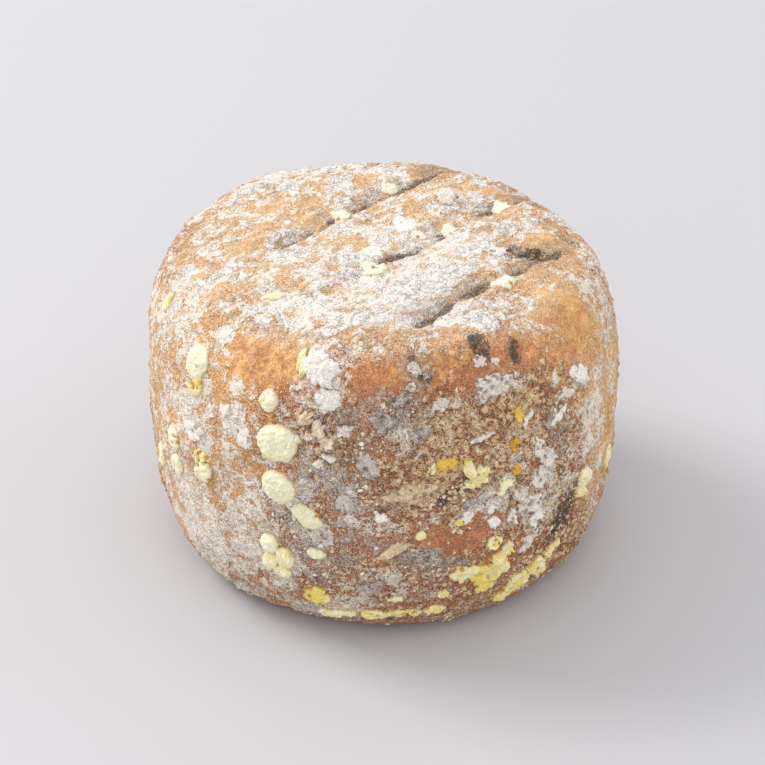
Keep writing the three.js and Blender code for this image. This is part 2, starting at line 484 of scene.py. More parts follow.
def rind_surface(azimuth, arc):
    """Points of the real, uneven wheel at azimuths and arc lengths, the barrel's normals there, and
    what grows there. The relief is along the normal and dies out towards the floor, where the foot's
    worn edge keeps it from going below."""
    even, normal = barrel(azimuth, arc)
    grown = growth(even)
    up = even[:, 2]
    points = settled(even, normal, azimuth) - MIDDLE
    points += normal * (relief(even, grown) * smooth(0.0, WORN_HEIGHT, up))[:, None]
    worn = 0.35 * (1 + ripple(even, 5.0, 101)) * smooth(WORN_HEIGHT, 0.0, up)
    points[:, 2] = np.where(up < WORN_HEIGHT, np.maximum(points[:, 2], 0) + worn, points[:, 2])
    return points, normal, grown


# ---------------------------------------------------------------- meshes

def corner_lists(faces):
    """Faces as lists of corners. A triangle is given as a square whose last corner is repeated."""
    return [face[:3] if face[2] == face[3] else face for face in faces.tolist()]


def make_mesh(name, points, faces, fields=None):
    """A smooth-shaded mesh object from points in millimetres, with a number field for each name."""
    mesh = bpy.data.meshes.new(name)
    mesh.from_pydata((points * MM).tolist(), [], corner_lists(faces))
    mesh.polygons.foreach_set("use_smooth", np.ones(len(faces), bool))
    for field, values in (fields or {}).items():
        attribute = mesh.attributes.new(field, "FLOAT", "POINT")
        attribute.data.foreach_set("value", values.astype(np.float32))
    mesh.update()
    piece = bpy.data.objects.new(name, mesh)
    bpy.context.scene.collection.objects.link(piece)
    return piece


def grid_faces(rows, columns):
    """The squares of a grid whose points are numbered row by row, as corner numbers."""
    row, column = np.meshgrid(np.arange(rows - 1), np.arange(columns - 1), indexing="ij")
    first = (row * columns + column).ravel()
    return np.stack([first, first + 1, first + columns + 1, first + columns], -1)


def disc_patch(radius):
    """A square grid drawn out to a disc: each coordinate shrinks by the root of one less half the
    other's square, so that the square's edge becomes the circle. Gives x and y."""
    x, y = np.meshgrid(np.linspace(-1, 1, GRID + 1), np.linspace(-1, 1, GRID + 1))
    return radius * (x * np.sqrt(1 - y**2 / 2)).ravel(), radius * (y * np.sqrt(1 - x**2 / 2)).ravel()


def weld(points, faces):
    """Joins points that lie in one place."""
    _, first, number = np.unique(np.round(points, 4), axis=0, return_index=True, return_inverse=True)
    return first, number.reshape(-1)[faces]


def wheel_grid():
    """Azimuths and arc lengths of the whole wheel's grid, and its squares: a disc patch on the face,
    one on the foot, and four patches round the side whose columns meet the discs' edges."""
    squares = grid_faces(GRID + 1, GRID + 1)
    x, y = disc_patch(FACE_RADIUS)
    patches = [(np.arctan2(x, -y), WHOLE_ARC - np.hypot(x, y), squares)]
    x, y = disc_patch(FOOT_RADIUS)
    patches.append((np.arctan2(x, -y), np.hypot(x, y), squares[:, ::-1]))
    columns = np.arcsin(np.linspace(-1, 1, GRID + 1) / math.sqrt(2))
    rows = np.linspace(FOOT_RADIUS, WHOLE_ARC - FACE_RADIUS, GRID + 1)
    for quarter in range(4):
        azimuth, arc = np.meshgrid(columns + quarter * math.pi / 2, rows)
        patches.append((azimuth.ravel(), arc.ravel(), squares))
    azimuths, arcs, faces = zip(*patches)
    faces = [own + number * (GRID + 1) ** 2 for number, own in enumerate(faces)]
    return np.concatenate(azimuths), np.concatenate(arcs), np.concatenate(faces)


def cheese_rind():
    """The whole wheel as one closed surface."""
    azimuth, arc, faces = wheel_grid()
    kept, faces = weld(barrel(azimuth, arc)[0], faces)
    points, _, grown = rind_surface(azimuth[kept], arc[kept])
    return make_mesh("cheese_rind", points, faces, grown)


# ---------------------------------------------------------------- colonies and flakes

RINGS, SPOKES = 20, 64  # points of one colony, from its hub to its edge and round it
EDGE_SUNK, FOOT_SUNK = 0.5, 0.8  # how deep a colony's edge and its underside lie in the rind
KNOB_SIZE = 1.3  # of the granules that make up a colony


def colony_faces(first):
    """Faces of one colony whose points start at the number `first`: a cap of triangles round the hub,
    bands of squares out to the edge, and an underside of triangles that meet at the last point."""
    ring = 1 + first + np.arange((RINGS - 1) * SPOKES).reshape(RINGS - 1, SPOKES)
    after = np.roll(ring, -1, axis=1)
    hub, foot = np.full(SPOKES, first), np.full(SPOKES, ring[-1, -1] + 1)
    cap = np.stack([hub, ring[0], after[0], after[0]], -1)
    bands = np.stack([ring[:-1], ring[1:], after[1:], after[:-1]], -1).reshape(-1, 4)
    return np.concatenate([cap, bands, np.stack([foot, after[-1], ring[-1], ring[-1]], -1)])


def colony_grid():
    """Each point's share of the way from the hub to the edge, and its angle: the hub, the rings, and the
    point under the hub."""
    shares = np.linspace(0, 1, RINGS)[1:] ** 0.8
    reach, angle = np.meshgrid(shares, np.linspace(0, 2 * math.pi, SPOKES, endpoint=False), indexing="ij")
    return np.concatenate([[0], reach.ravel(), [0]]), np.concatenate([[0], angle.ravel(), [0]])


def colony_plan(specs, seed, ragged):
    """Azimuths and arc lengths of all the colonies' points: each an ellipse, turned, whose edge noise
    pushes in and out. The noise is read along a circle, in a layer of its own for each colony."""
    reach, angle = colony_grid()
    azimuths, arcs = [], []
    for number, (place, length, width, turn, *_) in enumerate(specs):
        circle = np.stack([np.cos(angle), np.sin(angle), np.full(len(angle), 3.7 * number)], -1)
        edge = 1 + ragged * (rough(circle, 0.8, seed) + 0.5 * rough(circle, 0.25, seed + 5, 2))
        sideways = reach * edge * np.cos(angle) * length / 2
        upways = reach * edge * np.sin(angle) * width / 2
        azimuth, arc = around(place, *turned(sideways, upways, -turn))
        azimuths.append(azimuth)
        arcs.append(arc)
    return np.concatenate(azimuths), np.concatenate(arcs)


def colonies(specs, seed, ragged, table):
    """A closed cushion of mould for each line of a list: points, faces, how deep each point lies in a
    pit and how near it lies to the edge, the larger of the two, as a share of darkening that is partly the
    mould's ochre and partly painted shade, and its colony's tone.

    A colony's height is one less the share of the way to the edge raised to `table`, under a root, so
    that the top is level and the edge is steep. Granules and noise make it lumpy, and the share
    `pitted` of the granules are pits. The last ring turns in under the edge, and the underside lies
    inside the rind."""
    rind, normal, _ = rind_surface(*colony_plan(specs, seed, ragged))
    reach, _ = colony_grid()
    thickness, pitted, tone = np.repeat([spec[4:] for spec in specs], len(reach), axis=0).T
    inside = np.tile(reach, len(specs))
    nearest, second, own = granules(rind, KNOB_SIZE, seed)
    pits = smooth(0.62, 0.35, nearest) * (own < pitted)
    knobs = 0.14 * smooth(0.0, 0.35, second - nearest) + 0.22 * rough(rind, 2.4, seed + 9, 3)
    dome = np.sqrt(np.clip(1 - inside**table, 0, 1))
    height = thickness * dome * (1 + knobs) * (1 - 0.75 * pits)
    height = np.where(inside > 0.999, -EDGE_SUNK, height)
    height[len(reach) - 1::len(reach)] = -FOOT_SUNK
    points = rind + normal * height[:, None]
    faces = np.concatenate([colony_faces(len(reach) * number) for number in range(len(specs))])
    # darkening share: the pits, and a ring round the edge where the colony meets the rind; partly ochre,
    # partly painted shade
    return points, faces, np.maximum(pits, smooth(0.86, 1.0, inside) * 0.7), tone


def joined(parts):
    """Several lots of points, faces and fields put together."""
    starts = np.cumsum([0] + [len(part[0]) for part in parts[:-1]])
    faces = np.concatenate([part[1] + start for part, start in zip(parts, starts)])
    fields = [np.concatenate(field) for field in list(zip(*parts))[2:]]
    return np.concatenate([part[0] for part in parts]), faces, *fields


# Yellow colonies: place, length, width, turn, thickness, pitted share, and tone: -1 chalky white,
# 0 pale yellow, 1 deep yellow, 1.8 the gold of a stain.
CUSHIONS = (
    (side(-51, 69), 7.5, 9.5, -8, 1.2, 0.1, -0.2), (side(-50, 63.5), 4.8, 6.0, 0, 1.1, 0.6, 0.6),
    (side(-27, 68), 5.0, 5.6, 0, 2.2, 0.0, 0.2), (side(-24, 58), 10.6, 9.8, 10, 2.0, 0.0, 0.0),
    (side(-19.5, 60), 2.6, 2.4, 0, 1.0, 0.0, 0.2), (side(-24, 46), 9.6, 8.6, -10, 2.0, 0.0, 0.1),
    (side(-17, 39), 8.6, 5.2, -38, 1.5, 0.05, 0.0), (side(-15, 28.5), 5.2, 2.8, -10, 1.1, 0.0, 0.3),
    (side(-27, 28), 5.0, 5.6, 20, 1.5, 0.0, 0.1), (side(-23, 25), 5.0, 6.0, 20, 1.9, 0.0, 0.3),
    (side(-27, 23), 4.2, 5.4, 0, 1.4, 0.0, 0.2), (side(-24, 20.5), 5.0, 4.2, 0, 1.3, 0.0, 0.3),
    (side(-47, 44.5), 5.6, 4.0, 0, 1.0, 0.5, 0.6), (side(-46, 41), 5.0, 6.0, 0, 1.5, 0.1, 0.1),
    (side(-58, 44), 4.8, 8.0, 0, 1.0, 0.1, -0.3), (side(-57, 37), 4.4, 6.4, 0, 1.2, 0.3, 0.2),
    (side(57, 33), 5.4, 6.4, 15, 1.2, 0.1, 0.2), (side(56, 29.5), 4.0, 4.0, 15, 1.1, 0.2, 0.4),
    (side(73, 29), 3.5, 8.0, 0, 1.0, 0.1, 0.4), (side(-68, 33), 4.0, 7.0, 0, 0.9, 0.1, 0.2),
    (side(-73, 74), 4.0, 6.0, 0, 0.9, 0.1, 0.4), (side(9, 35), 2.8, 2.6, 0, 0.7, 0.0, 0.3),
    (side(145, 52), 8.0, 9.0, 0, 1.6, 0.0, 0.0), (side(152, 40), 6.0, 6.0, 0, 1.4, 0.1, 0.1),
    (side(-118, 34), 8.0, 7.0, 0, 1.6, 0.0, 0.0), (side(-126, 50), 5.0, 5.0, 0, 1.4, 0.0, 0.2),
    (side(172, 22), 7.0, 5.0, 0, 1.2, 0.2, 0.3), (side(105, 18), 7.0, 5.0, 0, 1.1, 0.3, 0.5),
    (side(-160, 62), 6.0, 7.0, 0, 1.5, 0.0, 0.0),
)
CRUSTS = (
    (side(-20, 77.5), 2.6, 8.0, 8, 1.6, 0.1, 0.5), (side(-16, 14), 6.4, 4.2, 0, 1.0, 0.3, 0.8),
    (side(-12, 8.0), 9.0, 3.6, -4, 1.1, 0.2, 0.3), (side(-2, 8.5), 8.0, 3.0, 0, 0.8, 0.3, 0.5),
    (side(5, 9.2), 8.5, 3.4, 2, 0.9, 0.3, 0.6), (side(13, 9.5), 6.0, 2.6, 0, 0.7, 0.3, 0.6),
    (side(3, 15), 3.4, 2.6, 0, 0.6, 0.2, 0.4), (side(15, 14), 3.0, 3.0, 0, 0.6, 0.2, 0.4),
    (side(20.5, 20.5), 8.0, 5.6, 0, 0.9, 0.12, 0.5), (side(25, 18.5), 8.0, 6.6, -20, 1.1, 0.15, 0.9),
    (side(28.5, 20.5), 9.0, 6.4, 50, 1.2, 0.12, 0.7), (side(31, 25), 3.4, 5.4, -10, 0.9, 0.1, 0.5),
    (side(25.5, 14.5), 5.5, 3.6, 30, 0.9, 0.2, 0.9), (side(36, 11.5), 8.0, 6.0, 0, 1.3, 0.12, 0.6),
    (side(41, 14), 7.0, 6.0, 20, 1.3, 0.12, 0.6), (side(46, 17), 6.0, 3.4, 40, 0.9, 0.1, 0.6),
    (side(32, 8.5), 6.0, 4.4, 10, 1.1, 0.2, 0.8), (side(27, 28), 4.0, 4.2, 0, 0.7, 0.4, 0.5),
    (side(20.8, 51.5), 3.0, 5.4, 12, 0.7, 0.1, 0.5), (side(23.4, 50), 3.4, 4.6, -30, 0.7, 0.2, 0.4),
    (side(22, 47.5), 6.0, 3.0, 5, 0.6, 0.2, 0.5), (side(15, 54), 5.2, 4.0, 0, 0.7, 0.4, 1.4),
    (side(12, 53.5), 2.4, 3.0, 0, 0.6, 0.2, 0.3), (side(30, 44.5), 5.6, 2.2, 25, 0.7, 0.1, 0.0),
    (side(33, 54.5), 2.6, 4.4, 0, 0.6, 0.4, 1.7), (side(33, 47.5), 2.8, 2.6, 0, 0.6, 0.4, 1.8),
    (side(34.5, 62), 2.2, 4.0, 0, 0.6, 0.3, 1.3), (side(18, 37), 2.4, 1.8, 0, 0.5, 0.2, 0.8),
    (side(120, 12), 12.0, 6.0, 0, 1.0, 0.3, 0.6), (side(-140, 10), 14.0, 5.0, 0, 1.0, 0.3, 0.6),
    (side(175, 50), 8.0, 4.0, 30, 0.8, 0.3, 0.5), (side(-90, 12), 9.0, 4.0, 0, 0.9, 0.3, 0.5),
)
FACE_SPOTS = (
    (face(-1, -12), 6.6, 6.0, 20, 1.1, 0.1, -0.4), (face(-1, -5), 6.0, 5.0, 0, 0.8, 0.1, -0.8),
    (face(-9, 16), 5.0, 6.0, 30, 0.8, 0.1, -0.3), (face(7, 9), 7.0, 8.0, 40, 0.7, 0.1, -0.7),
    (face(10, 4.5), 4.0, 3.4, 40, 0.6, 0.1, -0.8), (face(18, 8), 4.0, 4.8, 0, 1.0, 0.1, -0.4),
    (face(31, -18), 6.4, 6.4, 30, 1.0, 0.1, -0.4), (face(-25, -25), 4.6, 2.4, 30, 0.7, 0.1, 0.2),
    (face(3, 31), 5.4, 3.2, 40, 0.7, 0.1, -0.4), (face(32, 22), 5.4, 4.4, 30, 0.8, 0.1, -0.6),
    (face(-22, 26), 4.4, 3.4, 30, 0.7, 0.1, -0.5), (face(-30, -17), 2.4, 1.6, 0, 0.6, 0.0, 0.3),
)


def yellow_mould():
    """Round cushions, flat cracked crusts and the face's chalky spots, as one mesh."""
    cushions = colonies(CUSHIONS, seed=200, ragged=0.11, table=4.0)
    crusts = colonies(CRUSTS, seed=500, ragged=0.36, table=7.0)
    spots = colonies(FACE_SPOTS, seed=900, ragged=0.3, table=2.2)
    points, faces, pits, tones = joined([cushions, crusts, spots])
    return make_mesh("yellow_mould", points, faces, {"pit_and_edge_shade": pits, "tone": tones})


# Flakes of dried mould, in the same way, with a tone from -0.4, tan, over 0, white, to 1, dark grey.
FLAKES = (
    (side(10, 28.5), 11.0, 4.6, -20, 0.5, 0.3, 0.75), (side(3, 31), 8.5, 2.8, 35, 0.7, 0.1, -0.35),
    (side(7, 47), 13.0, 4.5, 5, 0.5, 0.6, -0.4), (side(22, 42.5), 7.0, 2.6, 28, 0.6, 0.3, 0.6),
    (side(26, 39), 2.4, 3.0, 0, 0.7, 0.0, 0.0), (side(27, 34.5), 3.6, 4.2, 0, 0.8, 0.0, 0.0),
    (side(0, 41), 3.4, 2.2, 0, 0.9, 0.0, 0.0), (side(29, 71), 11.0, 4.2, -5, 0.5, 0.3, 0.3),
    (side(57, 63), 5.0, 5.4, 30, 0.5, 0.1, 0.1), (side(54, 65), 3.4, 3.0, 0, 0.5, 0.1, 0.1),
    (side(5, 71), 6.5, 3.4, 10, 0.5, 0.3, 0.75), (side(1, 66), 7.0, 5.0, -30, 0.5, 0.3, 0.7),
    (side(9, 63), 6.0, 4.0, 30, 0.5, 0.3, 0.65), (side(-12, 71), 6.0, 5.4, -30, 1.2, 0.0, 0.15),
    (side(9.5, 77.5), 3.4, 4.6, 0, 0.7, 0.1, 0.45), (side(12, 76), 2.0, 2.0, 0, 0.6, 0.1, 0.8),
    (side(8, 74), 2.6, 2.4, 0, 0.5, 0.1, 0.4), (side(27, 77), 3.8, 3.6, 20, 0.7, 0.1, 0.35),
    (side(31.5, 76), 2.4, 2.4, 0, 0.5, 0.1, 0.35), (side(15, 69.5), 5.0, 2.8, 10, 0.4, 0.3, 0.35),
    (side(37, 60), 5.4, 1.8, 50, 0.6, 0.0, 0.0), (side(44, 57), 2.4, 6.0, 0, 0.5, 0.1, 0.6),
    (side(47, 56.5), 6.0, 2.0, 35, 0.6, 0.0, 0.05), (side(50, 61), 4.6, 3.4, 0, 0.4, 0.1, 0.25),
    (side(24, 59.5), 5.5, 1.8, 15, 0.5, 0.1, 0.2), (side(40, 42), 7.0, 5.0, 60, 0.4, 0.3, 0.2),
    (side(37, 36), 6.0, 5.0, 10, 0.4, 0.3, 0.2), (side(32, 34), 3.0, 5.0, 10, 0.5, 0.2, 0.15),
    (side(37, 24), 8.0, 2.6, 45, 0.6, 0.2, 0.25), (side(-14, 34), 7.0, 6.0, 0, 0.4, 0.4, 0.4),
    (side(-33, 56), 4.0, 6.0, 30, 0.4, 0.2, 0.15), (side(-15, 77), 8.0, 9.0, -20, 2.0, 0.0, 0.12),
    (side(-17, 66), 4.4, 3.0, 40, 1.6, 0.0, -0.3), (side(-14, 64), 3.0, 5.0, 0, 1.5, 0.0, -0.2),
    (side(-16, 62), 2.4, 2.4, 0, 1.3, 0.0, -0.3), (side(-12, 61), 3.6, 3.0, 20, 1.5, 0.0, -0.2),
    (side(-11.5, 57), 3.4, 2.4, -30, 1.4, 0.0, 0.0), (side(-14, 55), 3.0, 2.2, 20, 1.3, 0.0, -0.2),
    (side(-8, 64), 4.0, 3.0, 10, 1.0, 0.1, 0.3), (side(-40, 61), 3.0, 3.4, 0, 0.7, 0.0, 0.0),
    (side(-50, 51), 7.0, 6.0, 10, 0.5, 0.1, 0.0), (side(130, 62), 10.0, 6.0, 0, 0.6, 0.3, 0.4),
    (side(165, 36), 12.0, 5.0, 20, 0.6, 0.3, 0.6), (side(-150, 48), 10.0, 7.0, 0, 0.5, 0.3, 0.3),
    (side(-105, 60), 8.0, 6.0, 0, 0.6, 0.2, 0.2), (side(90, 50), 5.0, 9.0, 0, 0.5, 0.2, 0.3),
    (side(40, 51), 3.4, 5.6, 10, 0.5, 0.2, 0.2), (side(43, 47), 5.0, 6.5, 25, 0.5, 0.2, 0.25),
    (side(39, 31), 4.4, 5.0, 0, 0.5, 0.2, 0.1), (side(34, 40), 4.6, 5.0, 0, 0.5, 0.3, 0.3),
    (side(60, 52), 3.0, 6.0, 0, 0.5, 0.2, 0.25), (side(20, 38), 4.6, 3.0, 40, 0.5, 0.3, 0.1),
    (side(-3, 55), 5.0, 7.0, 20, 0.5, 0.3, 0.5), (side(-8, 44), 5.0, 6.0, -20, 0.5, 0.3, 0.45),
    (side(47, 66), 2.4, 5.0, -10, 0.5, 0.2, 0.2), (face(34, -3), 4.6, 3.4, 20, 0.9, 0.1, 0.75),
    (face(29, -5), 4.6, 3.0, 10, 0.6, 0.1, 0.05), (face(18, 22), 6.5, 5.5, 30, 1.3, 0.2, 0.2),
)


def mould_flakes():
    """Thin ragged plates of dried mould, as one mesh."""
    points, faces, pits, tones = colonies(FLAKES, seed=1300, ragged=0.42, table=5.0)
    return make_mesh("mould_flakes", points, faces, {"pit_and_edge_shade": pits, "tone": tones})


CRUMB_TRIES = 70000  # places that are tried
CRUMB_MOST = 9500  # crumbs that are kept
CRUMB_SIZES = (0.22, 0.68)  # half the width of the smallest and the largest crumb
CRUMB_FLATNESS = 0.55
CRUMB_FOOT = 5.0  # no crumbs nearer than this to the foot's flat disc


def round_crumb():
    """The twelve points of an icosahedron, one unit from its middle, and its twenty faces: the sets of
    three points that are an edge apart, which is 2 before the points are brought to one unit."""
    golden = (1 + math.sqrt(5)) / 2
    flat = [(0, a, b * golden) for a in (-1, 1) for b in (-1, 1)]
    points = np.array([np.roll(corner, turn) for turn in range(3) for corner in flat])
    faces = []
    for corners in itertools.combinations(range(12), 3):
        a, b, c = points[list(corners)]
        edges = np.linalg.norm([a - b, b - c, c - a], axis=1)
        if edges.max() < 2.1:
            outward = np.dot(np.cross(b - a, c - a), a) > 0
            faces.append(corners if outward else corners[::-1])
    return points / math.hypot(1, golden), np.array(faces)


def crumb_places(rng):
    """Azimuths and arc lengths of the crumbs: most where curd and fuzz are thick."""
    azimuth = rng.uniform(-math.pi, math.pi, CRUMB_TRIES)
    arc = rng.uniform(FOOT_RADIUS + CRUMB_FOOT, WHOLE_ARC, CRUMB_TRIES)
    even, _ = barrel(azimuth, arc)
    grown = growth(even)
    wanted = grown["curd"] ** 1.5 + 0.02 * grown["powder"] + 0.25 * grown["fuzz"]
    wanted = wanted - 0.8 * grown["bare"] - grown["gold"]
    wanted = wanted * (1 - 0.6 * grown["top"]) * smooth(-0.4, 0.6, rough(even, 6.0, 76))
    wanted = wanted * np.hypot(even[:, 0], even[:, 1]) / BELLY_RADIUS
    kept = np.flatnonzero(rng.random(CRUMB_TRIES) < wanted)[:CRUMB_MOST]
    return azimuth[kept], arc[kept]


def turned_tangents(points, normal, turn):
    """Two directions along the rind at each point, square to each other: the level one turned about the
    normal, and the one beside it."""
    level = np.cross((0, 0, 1), points)
    level = level / np.linalg.norm(level, axis=1, keepdims=True)
    rising = np.cross(normal, level)
    right = level * np.cos(turn)[:, None] + rising * np.sin(turn)[:, None]
    return right, np.cross(normal, right)


def mould_crumbs():
    """Loose crumbs of mould and crust, sunk a little into the rind. Each is the round crumb, turned on
    its normal, stretched three ways and dented by noise. Most are tan, and paler in grey mould."""
    rng = np.random.default_rng(5)
    rind, normal, grown = rind_surface(*crumb_places(rng))
    count = len(rind)
    shape, faces = round_crumb()
    size = CRUMB_SIZES[0] + (CRUMB_SIZES[1] - CRUMB_SIZES[0]) * rng.random(count) ** 2.2
    stretch = rng.uniform(0.7, 1.4, (count, 3)) * (1, 1, CRUMB_FLATNESS) * size[:, None]
    local = shape[None] * stretch[:, None]
    right, up = turned_tangents(rind, normal, rng.uniform(0, 2 * math.pi, count))
    offset = local[..., :1] * right[:, None] + local[..., 1:2] * up[:, None]
    offset = offset + local[..., 2:] * normal[:, None]
    dents = ripple((rind[:, None] + offset).reshape(-1, 3), 0.6, 77).reshape(count, -1, 1)
    points = (rind[:, None] + offset * (1 + 0.4 * dents)).reshape(-1, 3)
    numbered = (faces[None] + len(shape) * np.arange(count)[:, None, None]).reshape(-1, 3)
    squares = np.concatenate([numbered, numbered[:, 2:]], axis=1)
    tone = 0.6 * grown["fuzz"] * rng.random(count)
    tone = tone - 0.3 - (0.3 + 0.5 * grown["curd"]) * rng.random(count)
    fields = {"pit_and_edge_shade": np.zeros(len(points)), "tone": np.repeat(tone, len(shape))}
    return make_mesh("mould_crumbs", points, squares, fields)


# ---------------------------------------------------------------- finishes

def paint(red, green, blue):
    """A colour given as it looks on a screen, 0 to 255 each, as the linear colour that light needs."""
    shares = (value / 255 for value in (red, green, blue))
    linear = [v / 12.92 if v <= 0.04045 else ((v + 0.055) / 1.055) ** 2.4 for v in shares]
    return (*linear, 1.0)


DUST_SIZE = 0.34  # of the finest grains, in millimetres


class Field:
    """A socket that gives one number at each point of a surface, for use in expressions."""

    def __init__(self, finish, socket):
        self.finish, self.socket = finish, socket

    def math(self, operation, *values):
        """A Math node of an operation and its values."""
        return self.finish.add("ShaderNodeMath", {"operation": operation}, dict(enumerate(values)))

    def __add__(self, other):
        return self.math("ADD", self, other)

    def __sub__(self, other):
        return self.math("SUBTRACT", self, other)

    def __rsub__(self, other):
        return self.math("SUBTRACT", other, self)

    def __mul__(self, other):
        return self.math("MULTIPLY", self, other)

    def __abs__(self):
        return self.math("ABSOLUTE", self)

    __radd__, __rmul__ = __add__, __mul__


class Finish:
    """A material being made, with the few node arrangements that the mould and rind need."""

    def __init__(self, name):
        self.material = bpy.data.materials.new(name)
        self.material.use_nodes = True
        self.nodes, self.links = self.material.node_tree.nodes, self.material.node_tree.links
        self.shader = self.nodes["Principled BSDF"]

    def add(self, kind, settings=None, sockets=None, output=0):
        """Adds a node: its settings first, then the values or links of its sockets."""
        node = self.nodes.new(kind)
        for name, value in (settings or {}).items():
            setattr(node, name, value)
        self.fill(node, sockets or {})
        return Field(self, node.outputs[output])

    def fill(self, node, sockets):
        """Links each socket that is given a field, and sets each that is given a value."""
        for name, value in sockets.items():
            if isinstance(value, Field):
                self.links.new(value.socket, node.inputs[name])
            else:
                node.inputs[name].default_value = value

    def place(self):
        """Object coordinates."""
        return self.add("ShaderNodeTexCoord", output="Object")

    def field(self, name):
        """A number that the mesh holds for each point."""
        return self.add("ShaderNodeAttribute", {"attribute_name": name}, output="Fac")

    def noise(self, place, size, detail=3.0, roughness=0.55, distortion=0.0):
        """Cloudy noise, about 0.3 to 0.7, with clouds `size` millimetres across."""
        sockets = {"Vector": place, "Scale": 1 / (size * MM), "Detail": detail}
        sockets.update({"Roughness": roughness, "Distortion": distortion})
        return self.add("ShaderNodeTexNoise", {}, sockets, "Fac")

    def warped(self, place, size, far):
        """Coordinates pushed about by up to half of `far` millimetres, in clouds of `size`."""
        cloud = self.add("ShaderNodeTexNoise", {}, {"Vector": place, "Scale": 1 / (size * MM)}, "Color")
        sockets = {0: cloud, 1: (far * MM, far * MM, far * MM), 2: place}
        return self.add("ShaderNodeVectorMath", {"operation": "MULTIPLY_ADD"}, sockets)

    def cells(self, place, size):
        """Distance to the nearest of scattered centres `size` millimetres apart, in cells."""
        sockets = {"Vector": place, "Scale": 1 / (size * MM), "Smoothness": 0.35}
        return self.add("ShaderNodeTexVoronoi", {"feature": "SMOOTH_F1"}, sockets, "Distance")

    def smooth(self, low, high, value):
        """0 where the value is below `low`, 1 above `high`, an S-curve between."""
        sockets = {"Value": value, "From Min": low, "From Max": high}
        return self.add("ShaderNodeMapRange", {"interpolation_type": "SMOOTHSTEP"}, sockets)

    def spread(self, noise):
        """Cloudy noise drawn out so that every value from 0 to 1 is about as common."""
        return self.smooth(0.3, 0.7, noise)

    def cover(self, amount, pattern, edge=0.08):
        """Covers about `amount` of the surface, where a pattern of 0 to 1 is highest."""
        return self.smooth(1 - edge, 1 + edge, pattern + amount * (1 + 2 * edge) - edge)

    def mix(self, share, first, second):
        """A colour that goes from the first to the second."""
        return self.add("ShaderNodeMix", {"data_type": "RGBA"}, {0: share, 6: first, 7: second}, 2)

    def dusted_with_pit_shade(self, colour, place, salt, pepper_and_pit_shade):
        """A colour with the finest grains on it: white ones as strong as `salt`, and brown ones, partly
        brown dust and partly painted shade in tiny pits, as strong as the last amount.
        """
        dust = self.spread(self.noise(place, DUST_SIZE, 1, 0.5))
        colour = self.mix(salt * self.smooth(0.5, 1.0, dust), colour, BLOOM)
        # brown grains: partly brown dust, partly painted shade in tiny pits
        return self.mix(pepper_and_pit_shade * self.smooth(0.42, 0.04, dust), colour, UMBER)

    def drawn_out(self, place, turn, stretch):
        """Coordinates turned about Z and squeezed along the new X, so that a pattern is drawn out there."""
        sockets = {"Vector": place, "Rotation": (0, 0, turn), "Scale": (stretch, 1, 1)}
        return self.add("ShaderNodeMapping", {"vector_type": "TEXTURE"}, sockets)

    def finish(self, colour, roughness, height, **constants):
        """Links colour, roughness and a height in millimetres to the shader, and sets the rest."""
        bump = self.add("ShaderNodeBump", {}, {"Strength": 1.0, "Distance": MM, "Height": height})
        self.fill(self.shader, {"Base Color": colour, "Roughness": roughness, "Normal": bump})
        self.fill(self.shader, constants)
        return self.material


AMBER, ORANGE, RUSSET = paint(248, 192, 112), paint(226, 150, 84), paint(180, 112, 70)
UMBER, MAHOGANY, STAIN = paint(100, 68, 46), paint(140, 80, 50), paint(234, 176, 44)
CREAM, TALLOW, STRAW = paint(255, 230, 178), paint(228, 178, 124), paint(198, 168, 132)
BLOOM, FROST, ASH = paint(250, 246, 240), paint(253, 243, 226), paint(204, 192, 180)
SLATE, SOOT_BLACK = paint(116, 99, 88), paint(48, 45, 42)

GROWN = ("powder", "fuzz", "soot", "curd", "glow", "bare", "gold", "groove", "top")


def rind_patterns(f, place):
    """The noises that the rind's colours share, by name, each from 0 to 1: from clouds 12 mm across down
    to grain of half a millimetre, streaks along the rack's bars, round granules, and worms, which are
    the lines where one noise crosses its middle."""
    along_bars = f.drawn_out(place, math.radians(45), 2.4)
    return types.SimpleNamespace(
        clouds=f.spread(f.noise(place, 12, 2, 0.6)),
        blotches=f.spread(f.noise(place, 5, 3, 0.6, 0.4)),
        flecks=f.spread(f.noise(place, 2.2, 2, 0.6, 0.8)),
        bits=f.spread(f.noise(place, 1.1, 2, 0.6, 1.0)),
        grain=f.spread(f.noise(place, 0.5, 1, 0.6, 0.5)),
        streaks=f.spread(f.noise(along_bars, 1.6, 3, 0.65, 0.5)),
        granules=f.smooth(0.62, 0.15, f.cells(f.warped(place, 2.2, 1.0), 1.9)),
        worms=f.smooth(0.09, 0.01, abs(f.noise(place, 2.8, 1, 0.5, 1.6) - 0.5)),
    )


def skin_colour(f, g, p):
    """The rind itself: russet to orange in clouds, amber where it is clear, russet again where it is
    bare, paler on the top, with gold stains, and darker where crust will lie."""
    colour = f.mix(0.5 * p.clouds + 0.5 * p.flecks, RUSSET, ORANGE)
    colour = f.mix(g.glow * (0.6 + 0.35 * p.blotches), colour, AMBER)
    worn = f.smooth(0.7, 0.25, 0.5 * p.blotches + 0.3 * p.flecks + 0.2 * p.bits)
    colour = f.mix(0.85 * g.bare * worn, colour, RUSSET)
    colour = f.mix(0.3 * g.top, colour, CREAM)
    colour = f.mix(0.85 * g.gold * f.smooth(0.2, 0.7, p.flecks), colour, STAIN)
    return f.mix(0.3 * g.curd * (1 - 0.7 * g.glow), colour, UMBER)


